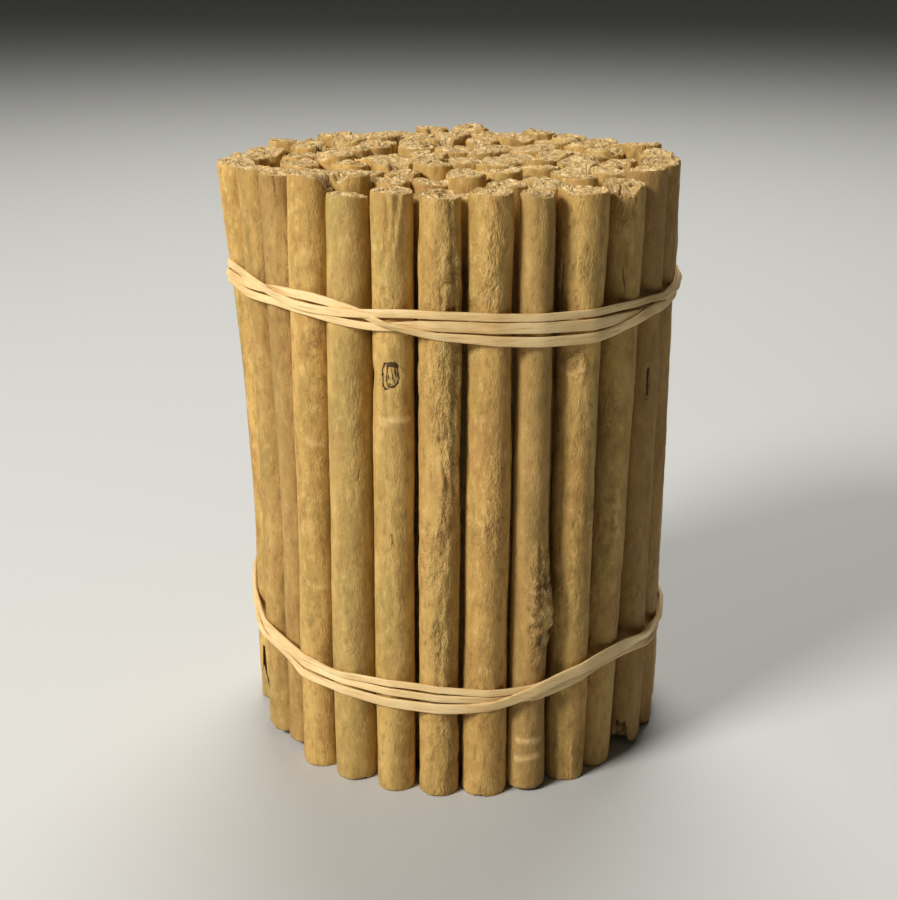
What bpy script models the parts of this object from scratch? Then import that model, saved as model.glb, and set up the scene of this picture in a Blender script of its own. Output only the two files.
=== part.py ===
"""A bundle of cinnamon quills standing on end, held by two rubber bands.

Each band is one flat loop wound three times round the bundle. Its three turns run side
by side and change places where they cross. Lengths are in metres, +Z is up, and the
front of the bundle faces -Y.
"""

import math
from collections import namedtuple

import bmesh
import bpy
import numpy as np
from mathutils import Vector, geometry

MM = 0.001
BUNDLE_RADIUS = 46.3 * MM
QUILL_LENGTH = 127.0 * MM
BACK_COUNT = 17
INNER_COUNT = 68
SEED = 11

WELD_GROWTH = 0.35 * MM  # each quill is this much fatter in radius, so neighbours join
CORE_RADIUS = 41.6 * MM
CORE_BOTTOM = 1.6 * MM
CORE_TOP = 119.5 * MM
OUTER_SIDES = 10
INNER_SIDES = 8
STRAIGHT_SHARES = (0.0, 0.5, 1.0)
LEANING_SHARES = (0.0, 0.28, 0.52, 0.78, 1.0)

STRIP_WIDTH = 1.6 * MM
STRIP_THICKNESS = 0.8 * MM
BAND_GAP = 0.35 * MM
TURNS = 3
CROSSING_HALF_WIDTH = 7.0  # degrees either side of a crossing

Quill = namedtuple("Quill", "x y head middle foot top bottom lean_x lean_y lean_start")
Band = namedtuple("Band", "heights spreads bulge crossings")

# The front of the ring, left to right. Azimuth in degrees from the front, then in
# millimetres: width at head, middle and foot, top, bottom, outward lean, inset.
FRONT_QUILLS = (
    (-79.0, 8.0, 8.0, 8.0, 127.4, 1.0, 4.9, 0.0),
    (-68.0, 8.0, 8.0, 8.0, 127.4, 1.5, 2.6, 0.3),
    (-56.5, 7.8, 7.8, 7.8, 127.9, 1.5, 2.2, 1.2),
    (-44.8, 8.8, 8.5, 8.4, 128.3, 0.0, 0.0, 0.0),
    (-31.7, 8.0, 9.3, 8.8, 125.4, 0.0, 0.0, 0.0),
    (-18.3, 8.1, 8.2, 8.1, 127.1, 0.0, 0.0, 0.0),
    (-5.6, 8.2, 8.2, 8.2, 126.6, 0.0, 0.0, 0.0),
    (7.5, 8.4, 9.0, 9.5, 127.2, 0.0, 0.0, 0.0),
    (19.5, 6.8, 7.3, 8.2, 126.9, 0.8, 0.0, 0.0),
    (33.8, 9.8, 8.6, 8.6, 126.7, 0.0, 0.0, 0.0),
    (49.0, 8.6, 8.3, 8.3, 126.7, 0.0, 0.0, 0.0),
    (61.8, 8.4, 8.3, 8.3, 128.1, 1.0, 0.0, 0.0),
    (74.1, 8.4, 8.3, 8.3, 128.3, 0.5, 0.0, 0.0),
)
# Two quills behind the left edge lean out with it: position in the back of the ring
# counted from the right, and lean in millimetres.
BACK_LEANS = {16: 3.2, 15: 1.4}

# Heads that sit low in the top of the bundle: azimuth, distance from the axis and depth.
LOW_HEADS = (
    (-30.0, 33.5, 2.6),
    (-14.0, 33.5, 3.6),
    (1.0, 33.5, 2.4),
    (-40.0, 25.0, 1.2),
    (-10.0, 25.0, 1.4),
)

# Heights are (azimuth, height of the middle of the band, mm). Spreads are (azimuth, half
# of the spread of the strands, mm). Crossings are (azimuth, which way the strands turn).
UPPER_BAND = Band(
    heights=((-82, 102.5), (5, 102.5), (14, 101.4), (24, 101.0), (42, 100.6), (62, 101.4),
             (72, 102.6), (180, 103.0), (278, 102.5)),
    spreads=((-90, 1.95), (90, 1.9), (180, 1.9)),
    bulge=0.58,
    crossings=((-57, 1), (-40, -1), (-25, 1), (-8, -1), (12, 1), (52, 1), (128, 1),
               (205, -1)),
)
LOWER_BAND = Band(
    heights=((-78, 32.5), (-70, 31.0), (-64, 28.0), (-55, 25.4), (-46, 24.6), (-35, 23.7),
             (5, 23.0), (13, 23.1), (21, 24.2), (30, 25.1), (50, 25.8), (80, 25.0),
             (180, 27.0), (240, 30.0), (282, 32.5)),
    spreads=((-75, 1.35), (-50, 1.6), (-30, 1.75), (5, 1.75), (22, 1.25), (75, 1.25),
             (120, 1.7), (240, 1.7), (285, 1.35)),
    bulge=0.6,
    crossings=((-66, 1), (-48, 1), (-2, -1), (24, 1), (56, 1), (112, -1), (170, 1),
               (232, -1)),
)


def around(table, azimuth):
    """The value of an (azimuth, value) table at this azimuth, smooth across the join."""
    keys = np.array([row[0] for row in table], float)
    values = np.array([row[1] for row in table], float)
    keys = np.concatenate([keys - 360, keys, keys + 360])
    return float(np.interp(azimuth, keys, np.tile(values, 3)))


def place(azimuth, radius):
    """The point at this azimuth from the front and this distance from the axis."""
    angle = math.radians(azimuth)
    return radius * math.sin(angle), -radius * math.cos(angle)


def outer_quills(rng):
    """The outer ring: the front quills as listed, the rest spaced behind them."""
    quills = []
    for azimuth, head, middle, foot, top, bottom, lean, inset in FRONT_QUILLS:
        x, y = place(azimuth, BUNDLE_RADIUS - (middle / 2 + inset) * MM)
        lean_x, lean_y = place(azimuth, lean * MM)
        quills.append(Quill(x, y, head * MM, middle * MM, foot * MM, top * MM, bottom * MM,
                            lean_x, lean_y, 0.36))
    widths = rng.uniform(7.7, 8.7, BACK_COUNT)
    chain = np.concatenate([[8.3], widths, [8.0]])
    steps = (chain[:-1] + chain[1:]) / 2
    first = FRONT_QUILLS[-1][0]
    last = FRONT_QUILLS[0][0] + 360
    azimuths = first + (last - first) * np.cumsum(steps) / steps.sum()
    for number in range(BACK_COUNT):
        width = widths[number]
        x, y = place(azimuths[number], BUNDLE_RADIUS - width / 2 * MM)
        lean_x, lean_y = place(azimuths[number], BACK_LEANS.get(number, 0.0) * MM)
        head, foot = width + rng.uniform(-0.4, 0.4, 2)
        top = 127.4 + rng.uniform(-1.0, 1.4)
        bottom = max(0.0, rng.uniform(-1.5, 1.2))
        quills.append(Quill(x, y, head * MM, width * MM, foot * MM, top * MM, bottom * MM,
                            lean_x, lean_y, 0.36))
    return quills


def inner_quills(rng, ring):
    """The quills inside the ring, settled by pushing overlapping neighbours apart."""
    widths = rng.uniform(7.4, 9.0, INNER_COUNT) * MM
    turn = math.pi * (3 - math.sqrt(5))
    reach = np.sqrt(np.arange(INNER_COUNT) / INNER_COUNT) * 35.5 * MM
    angles = np.arange(INNER_COUNT) * turn
    points = np.stack([reach * np.cos(angles), reach * np.sin(angles)], axis=1)
    fixed = np.array([[quill.x, quill.y] for quill in ring])
    radii = np.concatenate([widths, [quill.middle for quill in ring]]) / 2
    for _ in range(500):
        everything = np.concatenate([points, fixed])
        apart = points[:, None] - everything[None]
        distance = np.linalg.norm(apart, axis=2)
        distance[np.arange(INNER_COUNT), np.arange(INNER_COUNT)] = 1.0
        overlap = np.maximum(radii[:INNER_COUNT, None] + radii[None] - distance, 0.0)
        push = (apart / distance[..., None] * overlap[..., None]).sum(axis=1)
        points = points + 0.45 * push
        points[0] = 0.0
    quills = []
    for (x, y), width in zip(points, widths):
        top = 127.2 + rng.uniform(-1.3, 1.3)
        for azimuth, radius, depth in LOW_HEADS:
            low_x, low_y = place(azimuth, radius * MM)
            if math.hypot(x - low_x, y - low_y) < 5.2 * MM:
                top -= depth
        bottom = 0.0 if rng.random() < 0.6 else 1.8
        quills.append(Quill(x, y, width, width, width, top * MM, bottom * MM, 0.0, 0.0, 0.5))
    quills[0] = quills[0]._replace(bottom=0.0)
    return quills


def middle_of(quill, height):
    """Where the middle of a quill is at this height."""
    share = (height / QUILL_LENGTH - quill.lean_start) / (1 - quill.lean_start)
    share = max(0.0, share)
    lean = share * share * (1.6 - 0.6 * share)
    return quill.x + quill.lean_x * lean, quill.y + quill.lean_y * lean


def width_of(quill, height):
    """The width of a quill at this height: head, middle and foot joined by a curve."""
    share = min(1.0, max(0.0, height / QUILL_LENGTH))
    if share > 0.5:
        end, part = quill.head, (share - 0.5) * 2
    else:
        end, part = quill.foot, (0.5 - share) * 2
    return quill.middle + (end - quill.middle) * part * part


def grown_radius(quill, height, sides):
    """The corner radius of a prism with this many sides that matches the round quill."""
    flat = math.pi / sides
    return (width_of(quill, height) / 2 + WELD_GROWTH) / math.sqrt(math.cos(flat))


def quill_corners(quill, height, sides):
    """The corners of a quill's outline at this height."""
    x, y = middle_of(quill, height)
    radius = grown_radius(quill, height, sides)
    first = math.atan2(y, x)
    return [
        Vector((x + radius * math.cos(first + turn), y + radius * math.sin(first + turn), height))
        for turn in (2 * math.pi * side / sides for side in range(sides))
    ]


def add_prism(mesh, rings):
    """A closed tube through rings of corners, with a flat cap at each end."""
    loops = [[mesh.verts.new(corner) for corner in ring] for ring in rings]
    for low, high in zip(loops, loops[1:]):
        for side in range(len(low)):
            after = (side + 1) % len(low)
            mesh.faces.new((low[side], low[after], high[after], high[side]))
    mesh.faces.new(loops[0][::-1])
    mesh.faces.new(loops[-1])


def add_quill(mesh, quill, sides, shares):
    heights = [quill.bottom + (quill.top - quill.bottom) * share for share in shares]
    add_prism(mesh, [quill_corners(quill, height, sides) for height in heights])


def add_core(mesh):
    """The core that closes the channels between the quills below their heads."""
    rings = []
    for height in (CORE_BOTTOM, CORE_TOP):
        rings.append([Vector((*place(12.0 * step, CORE_RADIUS), height)) for step in range(30)])
    add_prism(mesh, rings)


def new_object(name, mesh, material):
    bmesh.ops.recalc_face_normals(mesh, faces=mesh.faces)
    data = bpy.data.meshes.new(name)
    mesh.to_mesh(data)
    mesh.free()
    made = bpy.data.objects.new(name, data)
    made.data.materials.append(material)
    bpy.context.scene.collection.objects.link(made)
    return made


def new_material(name, colour, roughness):
    material = bpy.data.materials.new(name)
    material.use_nodes = True
    shader = material.node_tree.nodes["Principled BSDF"]
    shader.inputs["Base Color"].default_value = (*colour, 1.0)
    shader.inputs["Roughness"].default_value = roughness
    shader.inputs["Metallic"].default_value = 0.0
    return material


def shade(made, degrees):
    made.data.shade_smooth()
    made.data.set_sharp_from_angle(angle=math.radians(degrees))


def build_quills(ring, inner, material):
    """All the quills and the core as one body."""
    mesh = bmesh.new()
    add_core(mesh)
    helper = new_object("core", mesh, material)
    mesh = bmesh.new()
    for quill in ring:
        leaning = quill.lean_x or quill.lean_y
        add_quill(mesh, quill, OUTER_SIDES, LEANING_SHARES if leaning else STRAIGHT_SHARES)
    for quill in inner:
        add_quill(mesh, quill, INNER_SIDES, (0.0, 1.0))
    quills = new_object("quills", mesh, material)
    union = helper.modifiers.new("join", "BOOLEAN")
    union.operation = "UNION"
    union.solver = "EXACT"
    union.use_self = True
    union.object = quills
    bpy.context.view_layer.update()
    evaluated = helper.evaluated_get(bpy.context.evaluated_depsgraph_get())
    mesh = bmesh.new()
    mesh.from_mesh(evaluated.to_mesh())
    evaluated.to_mesh_clear()
    bmesh.ops.remove_doubles(mesh, verts=mesh.verts, dist=0.002 * MM)
    for used in (helper, quills):
        bpy.data.objects.remove(used)
    made = new_object("cinnamon_sticks", mesh, material)
    shade(made, 40)


def hull_reach(ring, height_at, azimuth):
    """How far the taut outline round the ring reaches from the axis at this azimuth."""
    points = []
    for quill in ring:
        height = height_at(math.degrees(math.atan2(quill.x, -quill.y))) * MM
        points.extend(corner.to_2d() for corner in quill_corners(quill, height, OUTER_SIDES))
    hull = [points[index] for index in geometry.convex_hull_2d(points)]
    away = Vector(place(azimuth, 1.0))
    side = Vector((-away.y, away.x))
    for start, end in zip(hull, hull[1:] + hull[:1]):
        first, second = start.dot(side), end.dot(side)
        if first * second <= 0 and first != second:
            share = first / (first - second)
            reach = start.dot(away) * (1 - share) + end.dot(away) * share
            if reach > 0:
                return reach
    return BUNDLE_RADIUS


def strand_turn(band, azimuth):
    """The angle that shuffles the strands: it steps by 60 degrees at each crossing."""
    turn = 30.0
    for crossing, way in band.crossings:
        part = (azimuth - crossing) / (2 * CROSSING_HALF_WIDTH) + 0.5
        part = min(1.0, max(0.0, part))
        turn += 60.0 * way * part * part * (3 - 2 * part)
    return math.radians(turn)


def build_band(name, band, ring, material):
    """One flat loop wound three times: each lap follows the next strand's place."""
    azimuths = sorted(math.degrees(math.atan2(quill.x, -quill.y)) for quill in ring)
    azimuths = [azimuth for azimuth in azimuths if azimuth >= -84.0] + [
        azimuth + 360 for azimuth in azimuths if azimuth < -84.0
    ]
    closed = azimuths + [azimuths[0] + 360]
    stations = []
    for low, high in zip(closed, closed[1:]):
        stations += [low, (low + high) / 2]

    def height_at(azimuth):
        return around(band.heights, azimuth)

    reaches = [hull_reach(ring, height_at, azimuth) for azimuth in stations]
    rings = []
    for lap in range(TURNS):
        for azimuth, reach in zip(stations, reaches):
            turn = strand_turn(band, azimuth) + math.radians(120.0 * lap)
            spread = around(band.spreads, azimuth)
            height = (height_at(azimuth) + spread * math.cos(turn)) * MM
            near = reach + BAND_GAP + band.bulge * (1 + math.sin(turn)) * MM
            far = near + STRIP_THICKNESS
            rings.append([
                Vector((*place(azimuth, radius), height + side * STRIP_WIDTH / 2))
                for radius, side in ((near, -1), (far, -1), (far, 1), (near, 1))
            ])
    mesh = bmesh.new()
    loops = [[mesh.verts.new(corner) for corner in ring_corners] for ring_corners in rings]
    for low, high in zip(loops, loops[1:] + loops[:1]):
        for side in range(4):
            after = (side + 1) % 4
            mesh.faces.new((low[side], low[after], high[after], high[side]))
    made = new_object(name, mesh, material)
    shade(made, 40)


def main():
    for old in list(bpy.data.objects):
        bpy.data.objects.remove(old)
    bark = new_material("bark", (0.42, 0.24, 0.09), 0.8)
    latex = new_material("latex", (0.8, 0.6, 0.32), 0.5)
    rng = np.random.default_rng(SEED)
    ring = outer_quills(rng)
    inner = inner_quills(rng, ring)
    build_quills(ring, inner, bark)
    build_band("band_upper", UPPER_BAND, ring, latex)
    build_band("band_lower", LOWER_BAND, ring, latex)


main()
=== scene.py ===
"""Looks for a bundle of cinnamon quills that stands on end in two rubber bands.

Every quill is a rolled tube of bark with crumbly, layered ends. The outer ones carry
their own folds, scars and cracks. Lengths are in millimetres in the tables and on the
surface of a quill, and in metres where they place a mesh.
"""

import itertools
import math
from collections import namedtuple

import bmesh
import bpy
import numpy as np
from mathutils import Euler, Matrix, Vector, geometry


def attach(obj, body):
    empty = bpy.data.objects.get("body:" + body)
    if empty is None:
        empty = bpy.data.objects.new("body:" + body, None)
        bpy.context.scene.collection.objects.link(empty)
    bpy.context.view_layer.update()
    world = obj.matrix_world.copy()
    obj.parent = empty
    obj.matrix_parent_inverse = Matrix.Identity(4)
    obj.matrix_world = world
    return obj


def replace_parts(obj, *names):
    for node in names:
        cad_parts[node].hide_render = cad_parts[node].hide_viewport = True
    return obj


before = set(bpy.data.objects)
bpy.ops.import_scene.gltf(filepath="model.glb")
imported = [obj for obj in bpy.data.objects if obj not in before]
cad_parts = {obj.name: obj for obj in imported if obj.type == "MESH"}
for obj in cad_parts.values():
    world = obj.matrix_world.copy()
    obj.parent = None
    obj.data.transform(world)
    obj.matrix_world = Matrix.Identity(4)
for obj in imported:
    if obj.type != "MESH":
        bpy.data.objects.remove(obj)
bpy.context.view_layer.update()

# ---------------------------------------------------------------- sizes of the bundle
MM = 0.001
BUNDLE_RADIUS = 46.3 * MM
QUILL_LENGTH = 127.0 * MM
BACK_COUNT = 17
INNER_COUNT = 68
SEED = 11
LEAN_START = 0.36  # the share of its length above which a quill leans outward
INNER_REACH = 35.5 * MM  # how far from the axis the inner quills lie before they settle
INNER_ROUNDS, INNER_PUSH = 500, 0.45  # how often and how far overlapping ones are pushed
LOW_HEAD_REACH = 5.2 * MM  # a head this near to a low spot sits lower
LONG_FEET = 0.6  # the share of the inner quills that stand on the floor
SHORT_FOOT = 1.8  # mm above the floor, where the rest of them end

STRIP_WIDTH = 1.8 * MM
STRIP_THICKNESS = 0.62 * MM
STRIP_SIDES = 16
BAND_STATIONS = 240
SETTLING = 4.0  # degrees over which a strip eases from one height to the next
LATEX_GAP = 1.05  # thicknesses between two strips that lie on one another

# Sides round a quill, rings in a cut end, rings along the side, and how much closer
# together those lie near the ends. The inner quills show only their ends.
OUTER_SIDES, OUTER_CAP_RINGS, OUTER_SIDE_RINGS, OUTER_CROWDING = 56, 18, 148, 1.25
INNER_SIDES, INNER_CAP_RINGS, INNER_SIDE_RINGS, INNER_CROWDING = 44, 16, 15, 2.6
CAP_MIDDLE = 0.04  # the innermost ring of a cut end, as a share of the quill's radius

# The flat map of a piece: columns and rows of quills, and the part of each quill's cell
# that its side takes.
OUTER_MAP = (6, 1, 0.88)
INNER_MAP = (6, 6, 0.5)
INNER_PIECES = 2

CORE_RADIUS, CORE_HEIGHT, CORE_MIDDLE = 24 * MM, 100 * MM, 62 * MM
UPPER_SEED, LOWER_SEED = 3, 8  # for the small wavering of the two bands

# Each light: where it is, its width, its power in watts and its colour.
LIGHTS = (
    ("window", (-0.70, -0.57, 0.70), 0.36, 12.9, (1.0, 0.98, 0.95)),
    ("overhead", (0.05, 0.7, 1.1), 0.8, 12.0, (1.0, 0.99, 0.97)),
)
LIT_SPOT = (0.0, 0.0, 0.065)
ROOM_COLOUR, ROOM_STRENGTH = (1.0, 0.98, 0.95, 1.0), 0.042
CAMERA_SPOT = (-0.0023, -0.3352, 0.1779)
CAMERA_DOWN, CAMERA_ROLL = 19.15, 0.25  # degrees
CAMERA_LENS, CAMERA_SENSOR = 62.84, 36.0  # mm

Quill = namedtuple("Quill", "x y head middle foot top bottom lean_x lean_y foot_x foot_y",
                   defaults=(0.0, 0.0, 0.0, 0.0))
Mark = namedtuple("Mark", "kind facing height across along strength")
Look = namedtuple("Look", "rough seam marks head_chips foot_chips tone tint")
Blank = namedtuple("Blank", "mesh ring step sides cap_rings side_rings")
Surface = namedtuple("Surface", "spots end crack dark rough scroll scar knot line")

# The front of the ring, left to right. Azimuth in degrees from the front, then in
# millimetres: width at head, middle and foot, top, bottom, outward lean, inset.
FRONT_QUILLS = (
    (-79.0, 8.0, 8.0, 8.0, 127.4, 1.0, 4.9, 0.0),
    (-68.0, 8.0, 8.0, 8.0, 127.4, 1.5, 2.6, 0.3),
    (-56.5, 7.8, 7.8, 7.8, 127.9, 1.5, 2.2, 1.2),
    (-44.8, 8.8, 8.5, 8.4, 128.3, 0.0, 0.0, 0.0),
    (-31.7, 8.0, 9.3, 8.8, 125.4, 0.0, 0.0, 0.0),
    (-18.3, 8.1, 8.2, 8.1, 127.1, 0.0, 0.0, 0.0),
    (-5.6, 8.2, 8.2, 8.2, 126.6, 0.0, 0.0, 0.0),
    (7.5, 8.4, 9.0, 9.5, 127.2, 0.0, 0.0, 0.0),
    (19.5, 6.8, 7.3, 8.2, 126.9, 0.8, 0.0, 0.0),
    (33.8, 9.8, 8.6, 8.6, 126.7, 0.0, 0.0, 0.0),
    (49.0, 8.6, 8.3, 8.3, 126.7, 0.0, 0.0, 0.0),
    (61.8, 8.4, 8.3, 8.3, 128.1, 1.0, 0.0, 0.0),
    (74.1, 8.4, 8.3, 8.3, 128.3, 0.5, 0.0, 0.0),
)
# Feet that stand off their heads' line, by place in the row above: outward and to the
# right along the ring, in mm.
FOOT_SHIFTS = {1: (0.2, 1.5), 2: (-0.8, 0.0), 9: (0.0, -0.6), 10: (-1.1, -3.0), 11: (0.0, -0.9)}
# Quills that lean outward too, counted round the back from the right, in mm.
BACK_LEANS = {16: 3.2, 15: 1.4}
# Where heads inside the ring sit lower: azimuth, distance from the axis and depth in mm.
LOW_HEADS = (
    (-30.0, 33.5, 2.6),
    (-14.0, 33.5, 3.6),
    (1.0, 33.5, 2.4),
    (-40.0, 25.0, 1.2),
    (-10.0, 25.0, 1.4),
)

# A band is one loop wound three times. Each turn is a table of (azimuth, height in mm)
# that starts and ends at the back, where it hands over to the next turn. The turns are
# listed from the outermost to the innermost where they lie on one another.
UPPER_TURNS = (
    ((-180, 105.0), (-125, 105.6), (-90, 106.4), (-74, 106.6), (-66, 105.7), (-58, 105.2),
     (-52, 104.5), (-45, 103.6), (-38, 103.2), (-30, 103.4), (-22, 104.2), (-12, 104.6),
     (0, 104.4), (10, 103.9), (20, 103.5), (34, 103.3), (48, 103.3), (60, 103.0),
     (70, 102.6), (82, 102.9), (130, 103.6), (180, 103.1)),
    ((-180, 103.1), (-130, 103.4), (-90, 104.7), (-77, 104.6), (-70, 104.0), (-60, 104.3),
     (-52, 105.2), (-44, 105.6), (-36, 105.4), (-28, 104.7), (-23, 103.4), (-17, 102.3),
     (-10, 100.8), (-4, 100.1), (3, 99.9), (8, 99.4), (14, 98.9), (22, 98.6), (32, 98.2),
     (40, 98.5), (46, 99.5), (53, 101.0), (60, 102.1), (68, 102.7), (82, 102.9),
     (130, 102.2), (180, 101.2)),
    ((-180, 101.2), (-125, 101.8), (-90, 103.2), (-79, 103.3), (-72, 102.7), (-66, 102.2),
     (-55, 102.6), (-45, 102.7), (-35, 102.0), (-28, 101.5), (-22, 101.2), (-17, 101.7),
     (-11, 102.5), (-4, 102.4), (3, 102.1), (12, 101.8), (20, 101.5), (32, 101.0),
     (48, 100.9), (60, 100.5), (70, 100.6), (82, 101.2), (110, 102.0), (140, 104.8),
     (180, 105.0)),
)
LOWER_TURNS = (
    ((-180, 25.1), (-120, 28.4), (-90, 31.6), (-82, 30.4), (-76, 27.2), (-70, 25.4),
     (-66, 24.2), (-55, 23.5), (-47, 22.9), (-42, 22.1), (-35, 22.1), (-28, 21.6),
     (-18, 21.3), (-8, 21.1), (0, 20.9), (6, 21.2), (12, 22.3), (18, 24.0), (25, 25.8),
     (32, 26.9), (42, 28.0), (50, 28.1), (58, 27.5), (66, 26.9), (75, 26.9), (82, 27.8),
     (100, 29.0), (140, 29.4), (180, 28.9)),
    ((-180, 28.9), (-120, 32.0), (-90, 34.3), (-82, 33.0), (-76, 29.8), (-72, 28.5),
     (-65, 27.4), (-58, 26.9), (-50, 26.5), (-42, 26.0), (-34, 25.6), (-26, 25.6),
     (-18, 25.9), (-10, 25.8), (0, 25.0), (8, 24.6), (14, 24.4), (20, 24.7), (28, 26.0),
     (36, 27.0), (48, 27.6), (60, 26.9), (72, 26.1), (82, 26.6), (110, 27.2), (180, 27.0)),
    ((-180, 27.0), (-120, 30.2), (-90, 33.0), (-82, 31.7), (-76, 28.4), (-72, 27.0),
     (-65, 26.0), (-55, 25.3), (-44, 24.4), (-35, 24.1), (-26, 24.0), (-14, 23.8),
     (-7, 23.5), (0, 23.1), (8, 23.2), (14, 22.9), (18, 22.5), (23, 22.7), (28, 23.7),
     (34, 25.0), (42, 26.2), (48, 26.0), (54, 25.5), (64, 24.6), (72, 24.2), (82, 24.8),
     (110, 25.2), (180, 25.1)),
)

# How wide the strip shows along each turn, as (azimuth, share of its full width).
UPPER_WIDTHS = (
    ((-180, 0.95), (-60, 0.9), (-20, 0.95), (20, 0.85), (60, 0.8), (180, 0.95)),
    ((-180, 0.95), (-75, 0.8), (-40, 1.05), (-12, 0.75), (8, 1.1), (50, 1.15), (66, 0.8),
     (180, 0.95)),
    ((-180, 0.95), (-75, 0.8), (-50, 0.9), (-22, 0.8), (-5, 1.15), (40, 1.3), (60, 1.15),
     (74, 0.8), (180, 0.95)),
)
LOWER_WIDTHS = (
    ((-180, 1.0), (-80, 0.7), (-50, 0.85), (-25, 1.15), (10, 1.3), (45, 1.35), (62, 1.1),
     (74, 0.8), (180, 1.0)),
    ((-180, 0.9), (-80, 0.7), (-50, 0.7), (-15, 0.8), (40, 0.8), (74, 0.7), (180, 0.9)),
    ((-180, 0.9), (-80, 0.7), (-50, 0.75), (-15, 0.85), (40, 0.9), (74, 0.75), (180, 0.9)),
)

# Where a strip turns on its side for a moment: turn, azimuth, degrees, reach in azimuth.
UPPER_TWISTS = ((1, 57, 50, 5), (0, -50, -28, 6), (1, -18, -40, 5), (2, -62, 34, 6),
                (0, 120, 45, 6), (2, -130, -40, 7))
LOWER_TWISTS = ((0, -44, 34, 6), (2, -58, 36, 5), (1, -35, -32, 6), (0, 58, -36, 6),
                (2, 66, 38, 6), (0, -70, 34, 5), (1, 140, 40, 7))

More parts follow.
